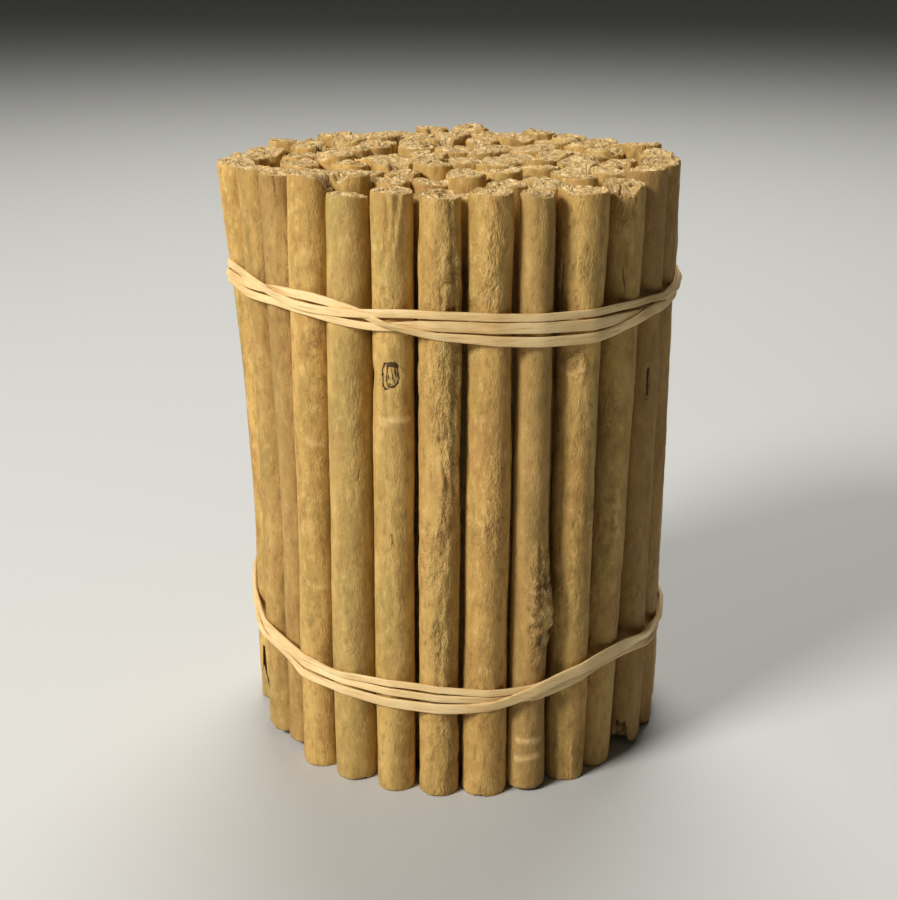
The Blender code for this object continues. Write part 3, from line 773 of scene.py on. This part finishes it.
# ---------------------------------------------------------------------------- the bands
def taut_outline(ring, height_at):
    """The corners of the outline that a band pulled round the ring takes."""
    points = []
    for quill in ring:
        height = height_at(math.degrees(math.atan2(quill.x, -quill.y))) * MM
        x, y = middle_of(quill, height)
        radius = width_of(quill, height) / 2
        for turn in np.linspace(0, 2 * math.pi, 72, endpoint=False):
            points.append(Vector((x + radius * math.cos(turn), y + radius * math.sin(turn))))
    return [points[index] for index in geometry.convex_hull_2d(points)]


def reach_of(hull, azimuth):
    """How far the outline reaches from the axis at this azimuth."""
    away = Vector(place(azimuth, 1.0))
    side = Vector((-away.y, away.x))
    for start, end in zip(hull, hull[1:] + hull[:1]):
        first, second = start.dot(side), end.dot(side)
        if first * second <= 0 and first != second:
            share = first / (first - second)
            reach = start.dot(away) * (1 - share) + end.dot(away) * share
            if reach > 0:
                return reach
    return BUNDLE_RADIUS


def strip_profile():
    """Corners of the strip's cross-section: a flat bar with rounded edges."""
    corners = []
    for turn in np.linspace(0, 2 * math.pi, STRIP_SIDES, endpoint=False) + 0.2:
        out, up = math.sin(turn), math.cos(turn)
        corners.append((math.copysign(abs(out) ** 0.5, out) * STRIP_THICKNESS / 2,
                        math.copysign(abs(up) ** 0.35, up) * STRIP_WIDTH / 2))
    return np.array(corners)


def eased(values, degrees):
    """The values at the stations of the whole loop, smoothed over this many degrees."""
    spread = degrees * BAND_STATIONS / 360
    reach = int(3 * spread)
    steps = np.arange(-reach, reach + 1)
    weights = np.exp(-((steps / spread) ** 2) / 2)
    wrapped = np.concatenate([values[-reach:], values, values[:reach]])
    return np.convolve(wrapped, weights / weights.sum(), mode="valid")


def along_turns(tables, azimuths):
    """A value at each azimuth of each turn, eased over the whole loop."""
    rows = [np.interp(azimuths, *np.array(table, float).T) for table in tables]
    return eased(np.concatenate(rows), SETTLING)


def band_path(turns, widths, twists, ring, seed):
    """Azimuth, reach, height, roll and width share of the strip along its three turns."""
    azimuths = -180.0 + 360.0 * np.arange(BAND_STATIONS) / BAND_STATIONS
    heights = along_turns(turns, azimuths).reshape(len(turns), -1)
    shares = along_turns(widths, azimuths)
    hull = taut_outline(ring, lambda azimuth: float(
        np.interp(azimuth, azimuths, heights.mean(axis=0), period=360)))
    reaches = np.array([reach_of(hull, azimuth) for azimuth in azimuths])
    thick, width = STRIP_THICKNESS / MM, STRIP_WIDTH / MM
    lifts, rolls = np.zeros_like(heights), np.zeros_like(heights)
    for outer in range(len(turns) - 2, -1, -1):
        for inner in range(outer + 1, len(turns)):
            apart = heights[outer] - heights[inner]
            over = rise(1.05 * width, 0.45 * width, np.abs(apart))
            lifts[outer] = np.maximum(lifts[outer], (lifts[inner] + thick * LATEX_GAP) * over)
            lean = np.clip(apart / width, -1, 1) * rise(1.3 * width, 0.8 * width, np.abs(apart))
            rolls[outer] += 26.0 * lean
            rolls[inner] += 10.0 * lean
    lifts, rolls = eased(lifts.ravel(), 2.0), eased(rolls.ravel(), 3.0)
    rng = np.random.default_rng(seed)
    share = np.arange(len(lifts)) / len(lifts) * 2 * math.pi
    drift = sum(np.sin(int(rng.integers(5, 20)) * share + rng.uniform(0, 2 * math.pi))
                for _ in range(4)) / 4
    reach = np.tile(reaches, len(turns)) + STRIP_THICKNESS / 2 + (lifts + 0.03) * MM
    twist = np.zeros_like(heights)
    for turn, azimuth, degrees, spread in twists:
        twist[turn] += np.radians(degrees) * np.exp(-(((azimuths - azimuth) / spread) ** 2))
    twist = twist.ravel()
    reach += 0.4 * STRIP_WIDTH * np.abs(np.sin(twist))
    roll = np.radians(rolls + 13.0 * drift) + twist
    return np.stack([np.tile(azimuths, len(turns)), reach, heights.ravel() * MM, roll, shares],
                    -1)


def band_blank(name, rings):
    """A closed loop of tube, its rings numbered by their height in the blank."""
    tube = bmesh.new()
    bmesh.ops.create_circle(tube, cap_ends=False, segments=STRIP_SIDES, radius=1.0)
    start = list(tube.edges)
    bmesh.ops.bridge_loops(tube, edges=start + drawn_up(tube, start, rings - 1))
    return mesh_from(tube, name)


def build_band(name, turns, widths, twists, ring, seed, material):
    """A flat rubber loop wound three times round the quills."""
    rows = band_path(turns, widths, twists, ring, seed)
    turn = np.radians(rows[:, 0])
    outward = np.stack([np.sin(turn), -np.cos(turn), turn * 0], -1)
    middle = outward * rows[:, 1:2]
    middle[:, 2] = rows[:, 2]
    along = np.roll(middle, -1, axis=0) - np.roll(middle, 1, axis=0)
    along /= np.linalg.norm(along, axis=1, keepdims=True)
    outward -= along * (outward * along).sum(axis=1, keepdims=True)
    outward /= np.linalg.norm(outward, axis=1, keepdims=True)
    upward = np.cross(outward, along)
    upward *= np.sign(upward[:, 2:3])
    roll = rows[:, 3:4]
    thick = outward * np.cos(roll) + upward * np.sin(roll)
    wide = upward * np.cos(roll) - outward * np.sin(roll)
    profile = strip_profile()
    rings = (middle[:, None] + thick[:, None] * profile[None, :, :1]
             + (wide * rows[:, 4:5])[:, None] * profile[None, :, 1:])
    mesh = band_blank(name, len(rows))
    station, step, _ = places_in(mesh, STRIP_SIDES)
    set_spots(mesh, rings[station, step])
    fixed = bmesh.new()
    fixed.from_mesh(mesh)
    bmesh.ops.recalc_face_normals(fixed, faces=fixed.faces)
    fixed.to_mesh(mesh)
    fixed.free()
    return add_piece(name, mesh, material)


# ----------------------------------------------------------------------------- materials
def fill(tree, socket, value):
    """Links a node's output to the socket, or sets a plain value there."""
    if isinstance(value, bpy.types.NodeSocket):
        tree.links.new(value, socket)
    else:
        socket.default_value = value


def node(tree, kind, inputs=None, **settings):
    """Adds a node, sets its fields, and fills its inputs."""
    made = tree.nodes.new(kind)
    for field, value in settings.items():
        setattr(made, field, value)
    for key, value in (inputs or {}).items():
        fill(tree, made.inputs[key], value)
    return made


def maths(tree, operation, first, second=0.0):
    """One step of arithmetic on numbers."""
    return node(tree, "ShaderNodeMath", {0: first, 1: second}, operation=operation).outputs[0]


def times(tree, first, second):
    """One number times another."""
    return maths(tree, "MULTIPLY", first, second)


def total(tree, *values):
    """The sum of two or more values."""
    summed = values[0]
    for value in values[1:]:
        summed = maths(tree, "ADD", summed, value)
    return summed


def span(tree, value, low, high, new_low=0.0, new_high=1.0):
    """The value eased from low..high to new_low..new_high."""
    return node(tree, "ShaderNodeMapRange",
                {"Value": value, "From Min": low, "From Max": high, "To Min": new_low,
                 "To Max": new_high}, interpolation_type="SMOOTHSTEP").outputs["Result"]


def bell(tree, value, middle, width):
    """1 where the value is at the middle, falling to 0 a width away on both sides."""
    away = maths(tree, "ABSOLUTE", maths(tree, "SUBTRACT", value, middle))
    return span(tree, away, 0.0, width, 1.0, 0.0)


def away_from(tree, x, y):
    """How far the point x, y is from 0, 0."""
    return maths(tree, "SQRT", total(tree, times(tree, x, x), times(tree, y, y)))


def vector_maths(tree, operation, *vectors):
    """One step of arithmetic on vectors."""
    return node(tree, "ShaderNodeVectorMath", dict(enumerate(vectors)),
                operation=operation).outputs[0]


def split(tree, vector):
    """The three numbers of a vector."""
    return node(tree, "ShaderNodeSeparateXYZ", {0: vector}).outputs


def noise(tree, vector, scale, detail=2.0, rough=0.5):
    """Soft noise round 0.5, with this many lumps to a metre."""
    return node(tree, "ShaderNodeTexNoise", {"Vector": vector, "Scale": scale, "Detail": detail,
                                             "Roughness": rough}).outputs["Fac"]


def drawn_out(tree, vector, scales, detail=2.0, rough=0.5):
    """The same with its own number of lumps to a metre along each axis."""
    return noise(tree, vector_maths(tree, "MULTIPLY", vector, scales), 1.0, detail, rough)


def mix(tree, share, first, second):
    """The first colour with this share of the second over it."""
    return node(tree, "ShaderNodeMix", {0: share, 6: first, 7: second},
                data_type="RGBA").outputs[2]


def mix_value(tree, share, first, second):
    """The first number with this share of the second in it."""
    return node(tree, "ShaderNodeMix", {0: share, 2: first, 3: second},
                data_type="FLOAT").outputs[0]


def linear(red, green, blue):
    """A colour given by its display values from 0 to 255."""
    return tuple(
        channel / 12.92 if channel <= 0.04045 else ((channel + 0.055) / 1.055) ** 2.4
        for channel in (red / 255, green / 255, blue / 255)
    ) + (1.0,)


def stained(tree, base, stains):
    """The base with colours over it: what each follows, from, to, its most, its colour."""
    for value, low, high, most, colour in stains:
        base = mix(tree, span(tree, value, low, high, 0.0, most), base, linear(*colour))
    return base


def attribute(tree, name, output="Fac"):
    """A number, or the vector, noted at each vertex."""
    return node(tree, "ShaderNodeAttribute", attribute_name=name).outputs[output]


def object_place(tree):
    """Where a point is on the object, in metres."""
    return node(tree, "ShaderNodeTexCoord").outputs["Object"]


def new_finish(name):
    """A new material with its node tree and its shader."""
    material = bpy.data.materials.new(name)
    material.use_nodes = True
    return material, material.node_tree, material.node_tree.nodes["Principled BSDF"]


def raise_surface(tree, shader, height, strength, distance):
    """Lets the height stand out of the surface as fine relief."""
    bump = node(tree, "ShaderNodeBump", {"Height": height, "Strength": strength,
                                         "Distance": distance})
    tree.links.new(bump.outputs["Normal"], shader.inputs["Normal"])


def new_group(name, inputs, outputs):
    """A shared effect that takes these vectors and gives these numbers."""
    tree = bpy.data.node_groups.new(name, "ShaderNodeTree")
    for label in inputs:
        tree.interface.new_socket(label, in_out="INPUT", socket_type="NodeSocketVector")
    for label in outputs:
        tree.interface.new_socket(label, in_out="OUTPUT", socket_type="NodeSocketFloat")
    return tree, tree.nodes.new("NodeGroupInput").outputs, tree.nodes.new("NodeGroupOutput").inputs


def grain_group():
    """Wavy lengthwise fibres, raised hairs, fine grain and pits, all from 0 to 1."""
    tree, given, result = new_group("lengthwise_grain", ("Vector",),
                                    ("Streaks", "Hairs", "Fine", "Pits"))
    wave = node(tree, "ShaderNodeTexNoise", {"Vector": given["Vector"], "Scale": 330.0,
                                             "Detail": 2.0})
    bent = vector_maths(tree, "MULTIPLY_ADD", wave.outputs["Color"], (0.0015, 0.0015, 0.0015),
                        given["Vector"])
    tree.links.new(drawn_out(tree, bent, (520.0, 520.0, 75.0), 3.0, 0.6), result["Streaks"])
    hair = drawn_out(tree, bent, (1300.0, 1300.0, 300.0))
    tree.links.new(bell(tree, hair, 0.5, 0.1), result["Hairs"])
    tree.links.new(drawn_out(tree, bent, (3900.0, 3900.0, 1000.0), 3.0, 0.6), result["Fine"])
    tree.links.new(drawn_out(tree, bent, (1150.0, 1150.0, 520.0), 3.0, 0.62), result["Pits"])
    return tree


def mark_group():
    """Lines of scars, knots and cracks from the spots noted on the bark: 1 on a line."""
    tree, given, result = new_group("bark_marks", ("Vector", "Scar", "Knot", "Crack"),
                                    ("Lines", "Swirls"))
    wave = node(tree, "ShaderNodeTexNoise", {"Vector": given["Vector"], "Scale": 1100.0,
                                             "Detail": 3.0})
    shake = vector_maths(tree, "ADD", wave.outputs["Color"], (-0.5, -0.5, -0.5))
    patchy = span(tree, wave.outputs["Fac"], 0.4, 0.56)

    def shaken(socket, amount):
        """A spot's two places across the mark, a little shaken, and its strength."""
        return split(tree, vector_maths(tree, "MULTIPLY_ADD", shake, (amount, amount, 0.0), socket))

    u, v, strength = shaken(given["Scar"], 0.55)

    def box(middle_u, middle_v, half_u, half_v):
        """1 on the edge of a box with round corners, less inside and more outside."""
        away_u = times(tree, maths(tree, "SUBTRACT", u, middle_u), 1 / half_u)
        away_v = times(tree, maths(tree, "SUBTRACT", v, middle_v), 1 / half_v)
        fourth = total(tree, maths(tree, "POWER", maths(tree, "ABSOLUTE", away_u), 4.0),
                       maths(tree, "POWER", maths(tree, "ABSOLUTE", away_v), 4.0))
        return maths(tree, "POWER", fourth, 0.25)

    outer = box(0.0, 0.0, 1.0, 1.0)
    inner = box(0.2, 0.04, 0.68, 0.82)
    inside = span(tree, outer, 0.85, 1.0, 1.0, 0.0)
    left = span(tree, total(tree, u, times(tree, v, -0.7)), 0.2, 0.7, 1.0, 0.15)
    rim = times(tree, bell(tree, outer, 1.0, 0.17), left)
    slant = total(tree, times(tree, u, 1.9), times(tree, v, 0.75))
    scratches = bell(tree, maths(tree, "FRACT", slant), 0.5, 0.42)
    broken = span(tree, wave.outputs["Fac"], 0.36, 0.5, 0.3, 1.0)
    scratches = times(tree, scratches, times(tree, span(tree, inner, 0.75, 0.95, 1.0, 0.0), broken))
    shade = times(tree, inside, span(tree, patchy, 0.0, 1.0, 0.24, 0.4))
    drawn = maths(tree, "MAXIMUM", maths(tree, "MAXIMUM", rim, shade),
                  maths(tree, "MAXIMUM", bell(tree, inner, 1.0, 0.22), scratches))
    scar = times(tree, drawn, strength)

    u, v, strength = shaken(given["Crack"], 1.5)
    ends = span(tree, maths(tree, "ABSOLUTE", v), 0.75, 1.0, 1.0, 0.0)
    crack = times(tree, times(tree, bell(tree, u, 0.0, 1.4), ends), strength)
    tree.links.new(maths(tree, "MAXIMUM", scar, crack), result["Lines"])

    u, v, strength = shaken(given["Knot"], 1.0)
    reach = away_from(tree, u, v)
    ripple = maths(tree, "SINE", times(tree, reach, 7.0))
    swirl = times(tree, span(tree, ripple, 0.2, 1.0), span(tree, reach, 1.3, 0.9))
    tree.links.new(times(tree, swirl, strength), result["Swirls"])
    return tree


def scroll_group():
    """Gaps between the rolled layers of a cut end, to be painted dark as shade, and thinner lines
    inside them.
    """
    tree, given, result = new_group("rolled_layers", ("Scroll", "Vector"), ("Gaps", "Sheets"))
    x, y, drift = split(tree, given["Scroll"])
    turn = times(tree, maths(tree, "ARCTAN2", y, x), -1 / (2 * math.pi))
    shake = times(tree, noise(tree, given["Vector"], 1900.0), 0.55)
    phase = total(tree, away_from(tree, x, y), turn, drift, shake)
    off_gap = maths(tree, "SUBTRACT", maths(tree, "FRACT", phase), 0.78)
    tree.links.new(span(tree, maths(tree, "ABSOLUTE", off_gap), 0.03, 0.16, 1.0, 0.0),
                   result["Gaps"])
    thin = maths(tree, "FRACT", times(tree, phase, 4.0))
    tree.links.new(bell(tree, thin, 0.5, 0.5), result["Sheets"])
    return tree


def bark_side_colour(tree, place_in, fibres, drawn, mottle, raised):
    """The peeled side of a quill, from straw to brown."""
    streaks, fine, pits = (fibres.outputs[label] for label in ("Streaks", "Fine", "Pits"))
    tone, tint, dark, rough = (attribute(tree, name) for name in (
        "quill_tone_and_shade", "quill_tint", "mark_stain_shade_and_highlight", "bark_rough"))
    cloud = drawn_out(tree, place_in, (190.0, 190.0, 50.0), 3.0, 0.55)
    olive = drawn_out(tree, place_in, (260.0, 260.0, 38.0))
    warm = noise(tree, place_in, 115.0)
    side = mix(tree, span(tree, cloud, 0.36, 0.64), linear(188, 149, 79), linear(214, 174, 99))
    side = stained(tree, side, (
        (olive, 0.5, 0.68, 0.6, (164, 140, 72)),
        (warm, 0.52, 0.7, 0.4, (186, 134, 78)),
        (streaks, 0.44, 0.26, 0.4, (150, 112, 56)),
        (mottle, 0.48, 0.34, 0.55, (148, 110, 54)),
        (mottle, 0.52, 0.68, 0.6, (231, 194, 118)),
        (raised, 0.4, 0.95, 0.26, (230, 196, 128)),
        (fine, 0.42, 0.26, 0.35, (144, 102, 48)),
    ))
    pitted = times(tree, span(tree, pits, 0.45, 0.3), span(tree, rough, 0.35, 1.5, 0.06, 0.6))
    side = mix(tree, pitted, side, linear(134, 96, 46))
    # Each quill's own lightness, which on the right-hand quills is also painted shade.
    side = stained(tree, side, (
        (tone, 0.0, 1.0, 0.5, (226, 190, 126)),
        (tone, 0.0, -1.0, 0.6, (138, 104, 60)),
        (tint, 0.0, -1.0, 0.45, (160, 142, 84)),
        (tint, 0.0, 1.0, 0.35, (176, 122, 70)),
    ))
    side = mix(tree, times(tree, drawn.outputs["Swirls"], 0.6), side, linear(122, 84, 42))
    grit = node(tree, "ShaderNodeMath", {0: fine, 1: 0.5, 2: -0.25},
                operation="MULTIPLY_ADD").outputs[0]
    # Below zero the marks' value lightens the bark, which on fold lips and wrinkle ridges is
    # painted highlight; above zero it darkens it, which is the bark's own colour on patches and
    # rough spots and painted shade in fold grooves and wrinkle creases.
    return stained(tree, side, (
        (dark, 0.0, -0.5, 0.8, (232, 196, 132)),
        (total(tree, dark, grit), 0.12, 0.9, 1.0, (80, 52, 26)),
        (drawn.outputs["Lines"], 0.2, 0.95, 1.0, (66, 41, 18)),
    ))


def cut_end_colour(tree, crumb, clod, sheets, gaps):
    """The pale, crumbly ends, with painted shade in the gaps and cracks between their layers."""
    cut = mix(tree, span(tree, clod, 0.36, 0.64), linear(196, 160, 98), linear(238, 207, 147))
    cut = stained(tree, cut, (
        (crumb, 0.54, 0.72, 0.6, (250, 226, 172)),
        (sheets, 0.3, 0.9, 0.22, (160, 118, 64)),
        (crumb, 0.42, 0.27, 0.55, (142, 100, 48)),
    ))
    # Painted shade in the gaps between the layers, and darker still in the cracks, at the rim and
    # in the hollow middle of each scroll.
    cut = mix(tree, gaps, cut, linear(112, 76, 36))
    return stained(tree, cut, ((attribute(tree, "layer_crack_shade"), 0.25, 0.95, 1.0, (88, 58, 27)),))


def bark_material(grain, marks, scroll):
    """Peeled cinnamon bark with its fibres, pits and scars, and its crumbly cut ends."""
    material, tree, shader = new_finish("cinnamon_bark")
    place_in = object_place(tree)
    fibres = node(tree, "ShaderNodeGroup", {"Vector": place_in}, node_tree=grain)
    drawn = node(tree, "ShaderNodeGroup", {
        "Vector": place_in, "Scar": attribute(tree, "scar_spot", "Vector"),
        "Knot": attribute(tree, "knot_spot", "Vector"),
        "Crack": attribute(tree, "crack_line", "Vector")}, node_tree=marks)
    layers = node(tree, "ShaderNodeGroup", {
        "Vector": place_in, "Scroll": attribute(tree, "scroll_spot", "Vector")}, node_tree=scroll)
    end, sheets = attribute(tree, "cut_end"), layers.outputs["Sheets"]

    mottle = drawn_out(tree, place_in, (640.0, 640.0, 330.0), 4.0, 0.68)
    loose = span(tree, noise(tree, place_in, 300.0), 0.42, 0.62)
    raised = times(tree, fibres.outputs["Hairs"], loose)
    side = bark_side_colour(tree, place_in, fibres, drawn, mottle, raised)
    crumb = noise(tree, place_in, 1150.0, 3.0, 0.6)
    clod = noise(tree, place_in, 430.0, 3.0, 0.6)
    gaps = times(tree, layers.outputs["Gaps"], span(tree, clod, 0.4, 0.56, 0.1, 0.6))
    cut = cut_end_colour(tree, crumb, clod, sheets, gaps)
    colour = mix(tree, span(tree, end, 0.35, 0.65), side, cut)
    tree.links.new(colour, shader.inputs["Base Color"])

    dull = span(tree, fibres.outputs["Streaks"], 0.3, 0.7, 0.8, 0.64)
    tree.links.new(mix_value(tree, end, dull, 0.92), shader.inputs["Roughness"])
    shader.inputs["Specular IOR Level"].default_value = 0.35

    smooth = total(tree, times(tree, fibres.outputs["Fine"], 0.26), times(tree, raised, 0.2),
                   times(tree, fibres.outputs["Streaks"], 0.6), mottle)
    knobbly = times(tree, fibres.outputs["Pits"],
                    span(tree, attribute(tree, "bark_rough"), 0.3, 1.5, 0.15, 4.2))
    cuts = total(tree, times(tree, drawn.outputs["Lines"], -1.0),
                 times(tree, drawn.outputs["Swirls"], -0.5))
    crumbly = total(tree, crumb, times(tree, clod, 1.2), times(tree, gaps, -1.0),
                    times(tree, sheets, -0.3))
    height = mix_value(tree, end, total(tree, smooth, knobbly, cuts), crumbly)
    raise_surface(tree, shader, height, 0.85, 0.28 * MM)
    return material


def core_material(grain):
    """Bark painted dark as the shade in the heart between the quills."""
    material, tree, shader = new_finish("shadowed_bark")
    fibres = node(tree, "ShaderNodeGroup", {"Vector": object_place(tree)}, node_tree=grain)
    colour = mix(tree, fibres.outputs["Streaks"], linear(70, 44, 22), linear(110, 76, 42))
    tree.links.new(colour, shader.inputs["Base Color"])
    shader.inputs["Roughness"].default_value = 0.95
    return material


def latex_material():
    """Pale natural rubber, dusted with bark, with lengthwise streaks painted paler on their raised
    lines as highlight and darker on their low ones as shade.
    """
    material, tree, shader = new_finish("natural_latex")
    place_in = object_place(tree)
    cloud = noise(tree, place_in, 90.0)
    drawn = drawn_out(tree, place_in, (120.0, 120.0, 2400.0), 3.0, 0.6)
    dust = noise(tree, place_in, 1700.0, 3.0, 0.7)
    colour = mix(tree, span(tree, cloud, 0.35, 0.65), linear(228, 192, 130), linear(242, 211, 153))
    # Painted highlight on the raised lines of the streaks and painted shade on their low ones; the
    # dust is the rubber's own.
    colour = stained(tree, colour, (
        (drawn, 0.5, 0.75, 0.4, (251, 229, 180)),
        (drawn, 0.48, 0.3, 0.7, (198, 156, 96)),
        (dust, 0.66, 0.8, 0.4, (176, 130, 74)),
    ))
    tree.links.new(colour, shader.inputs["Base Color"])
    tree.links.new(span(tree, dust, 0.3, 0.7, 0.42, 0.62), shader.inputs["Roughness"])
    raise_surface(tree, shader, total(tree, drawn, times(tree, dust, 0.4)), 0.7, 0.18 * MM)
    return material


# --------------------------------------------------------------------------- the pieces
def back_look(rng, azimuth):
    """Marks and chips for a quill that isn't listed, most of them where it faces out."""
    marks = []
    for _ in range(int(rng.integers(4, 9))):
        kind, across, along, strength = BACK_MARKS[int(rng.integers(len(BACK_MARKS)))]
        marks.append(Mark(kind, azimuth + rng.uniform(-70, 70), rng.uniform(8, 120),
                          across * rng.uniform(0.8, 1.3), along * rng.uniform(0.7, 1.4),
                          strength * rng.uniform(0.6, 1.2)))
    head = ((rng.uniform(0, 360), rng.uniform(25, 55), rng.uniform(0.4, 1.8)),)
    foot = ((rng.uniform(0, 360), rng.uniform(20, 45), rng.uniform(0.3, 1.6)),)
    return Look(rng.uniform(0.35, 1.2), azimuth + rng.uniform(60, 300), tuple(marks), head,
                foot, rng.uniform(-0.45, 0.2), rng.uniform(-0.5, 0.35))


def build_quills(ring, inner, bark):
    """Every quill: the outer ones six to a piece, the inner ones in two pieces."""
    rng = np.random.default_rng(SEED + 1)
    behind = [math.degrees(math.atan2(quill.x, -quill.y)) for quill in ring[len(FRONT_LOOKS):]]
    looks = list(FRONT_LOOKS) + [back_look(rng, azimuth) for azimuth in behind]
    looks = [look._replace(seam=look.seam % 360) for look in looks]
    outer = [(quill, look, 1000 + 37 * number)
             for number, (quill, look) in enumerate(zip(ring, looks))]
    plain = [(quill, back_look(rng, 0.0)._replace(marks=()), 5000 + 37 * number)
             for number, quill in enumerate(inner)]
    pieces = []
    for kind, members, in_piece, flat_map, sides, cap_rings, side_rings, crowding in (
            ("outer", outer, OUTER_MAP[0], OUTER_MAP, OUTER_SIDES, OUTER_CAP_RINGS,
             OUTER_SIDE_RINGS, OUTER_CROWDING),
            ("inner", plain, (len(plain) + 1) // INNER_PIECES, INNER_MAP, INNER_SIDES,
             INNER_CAP_RINGS, INNER_SIDE_RINGS, INNER_CROWDING)):
        shares = side_shares(side_rings, crowding)
        blank = rolled_blank(sides, cap_rings, side_rings)
        for number, start in enumerate(range(0, len(members), in_piece)):
            pieces.append(quill_piece(f"quills_{kind}_{number + 1}",
                                      members[start:start + in_piece], blank, shares,
                                      flat_map, bark))
        bpy.data.meshes.remove(blank.mesh)
    return pieces


def build_core(material):
    """A plug in the middle, dark with painted shade, out of sight where the quills are packed
    tight.
    """
    core = bmesh.new()
    bmesh.ops.create_cone(core, cap_ends=True, segments=48, radius1=CORE_RADIUS,
                          radius2=CORE_RADIUS, depth=CORE_HEIGHT)
    bmesh.ops.translate(core, vec=(0.0, 0.0, CORE_MIDDLE), verts=core.verts)
    return add_piece("bundle_core", mesh_from(core, "bundle_core"), material, False)


# ------------------------------------------------------------------------- the studio
def build_stage():
    """A plain pale floor."""
    floor = bmesh.new()
    bmesh.ops.create_grid(floor, x_segments=1, y_segments=1, size=4.0)
    material, _, shader = new_finish("pale_floor")
    shader.inputs["Base Color"].default_value = linear(200, 200, 196)
    shader.inputs["Roughness"].default_value = 0.7
    mesh = mesh_from(floor, "floor")
    mesh.materials.append(material)
    plane = set_down("floor", mesh)


def build_lights():
    """A soft window on the left, a wide light above and behind, and a dim room."""
    for name, spot, width, power, colour in LIGHTS:
        data = bpy.data.lights.new(name, "AREA")
        data.shape = "DISK"
        data.size = width
        data.energy = power
        data.color = colour
        light = set_down(name, data)
        light.location = spot
        light.rotation_euler = (Vector(LIT_SPOT) - Vector(spot)).to_track_quat("-Z", "Y").to_euler()
    world = bpy.data.worlds.new("studio")
    bpy.context.scene.world = world
    world.use_nodes = True
    room = world.node_tree.nodes["Background"]
    room.inputs["Color"].default_value = ROOM_COLOUR
    room.inputs["Strength"].default_value = ROOM_STRENGTH


def build_camera():
    """A little above the head of the bundle, looking down at it from the front."""
    data = bpy.data.cameras.new("camera")
    data.lens = CAMERA_LENS
    data.sensor_width = CAMERA_SENSOR
    camera = set_down("camera", data)
    camera.location = CAMERA_SPOT
    turn = Euler((math.radians(90 - CAMERA_DOWN), 0.0, 0.0)).to_matrix()
    roll = Euler((0.0, 0.0, math.radians(CAMERA_ROLL))).to_matrix()
    camera.rotation_euler = (turn @ roll).to_euler()
    bpy.context.scene.camera = camera


build_camera()
build_stage()
build_lights()
bpy.context.scene.view_settings.view_transform = "Standard"
layout = np.random.default_rng(SEED)
ring_of_quills = outer_quills(layout)
packed_quills = inner_quills(layout, ring_of_quills)
grain = grain_group()
bark = bark_material(grain, mark_group(), scroll_group())
for made in build_quills(ring_of_quills, packed_quills, bark):
    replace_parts(made, "cinnamon_sticks")
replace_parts(build_core(core_material(grain)), "cinnamon_sticks")
latex = latex_material()
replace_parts(build_band("band_upper_wound", UPPER_TURNS, UPPER_WIDTHS, UPPER_TWISTS,
                       ring_of_quills, UPPER_SEED, latex), "band_upper")
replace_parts(build_band("band_lower_wound", LOWER_TURNS, LOWER_WIDTHS, LOWER_TWISTS,
                       ring_of_quills, LOWER_SEED, latex), "band_lower")
